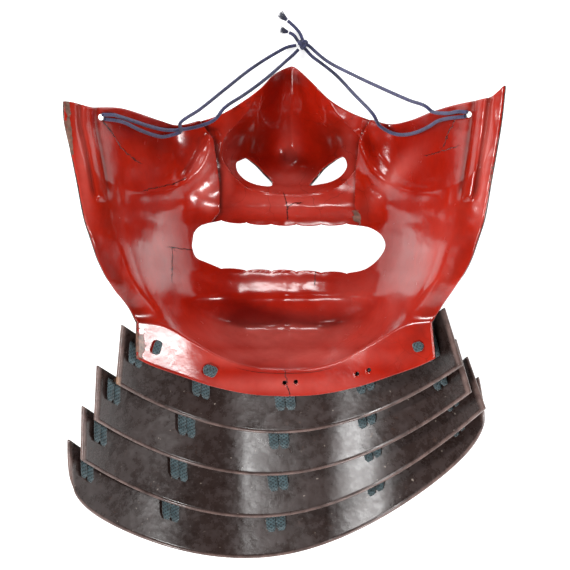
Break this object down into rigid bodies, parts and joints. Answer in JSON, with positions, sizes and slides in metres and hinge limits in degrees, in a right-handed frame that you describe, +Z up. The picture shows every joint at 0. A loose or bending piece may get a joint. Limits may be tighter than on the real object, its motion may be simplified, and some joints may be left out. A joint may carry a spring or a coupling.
{
  "type": "samurai face guard with laced throat guard",
  "caption": "Red-lacquered half-face guard with open toothed mouth and nose plate, dark laced throat lames and a knotted tie cord, lying face down.",
  "frame": {"origin": "middle of the box around the guard, tie cord left out, on the surface that it lies on", "axes": "+Z up, out of the hollow towards the wearer; +Y from the throat guard towards the nose bridge; +X to the right as seen looking down into the hollow"},
  "size_m": [0.1856, 0.2451, 0.1149],
  "materials": {
    "red_lacquer": "glossy red lacquer, worn at the edges",
    "dark_lacquer": "semi-gloss russet-black lacquered iron",
    "teal_lace": "braided dark teal silk",
    "navy_cord": "braided navy cord"
  },
  "bodies": {
    "root": {"face_shell": "red_lacquer", "nose_plate": "red_lacquer", "throat_lame_1": "dark_lacquer", "throat_lame_2": "dark_lacquer", "throat_lame_3": "dark_lacquer", "throat_lame_4": "dark_lacquer", "lace_1_far_left": "teal_lace", "lace_1_left": "teal_lace", "lace_1_middle": "teal_lace", "lace_1_right": "teal_lace", "lace_1_far_right": "teal_lace", "lace_2_far_left": "teal_lace", "lace_2_left": "teal_lace", "lace_2_middle": "teal_lace", "lace_2_right": "teal_lace", "lace_2_far_right": "teal_lace", "lace_3_far_left": "teal_lace", "lace_3_left": "teal_lace", "lace_3_middle": "teal_lace", "lace_3_right": "teal_lace", "lace_3_far_right": "teal_lace", "lace_4_far_left": "teal_lace", "lace_4_left": "teal_lace", "lace_4_middle": "teal_lace", "lace_4_right": "teal_lace", "lace_4_far_right": "teal_lace", "flange_lace_far_left": "teal_lace", "flange_lace_left": "teal_lace", "flange_lace_far_right": "teal_lace", "tie_cord_left_over": "navy_cord", "tie_cord_left_under": "navy_cord", "tie_cord_right_over": "navy_cord", "tie_cord_right_under": "navy_cord", "tie_end_long": "navy_cord", "tie_end_short": "navy_cord", "tie_tuft_long": "navy_cord", "tie_tuft_short": "navy_cord", "tie_knot": "navy_cord"}
  },
  "joints": []
}
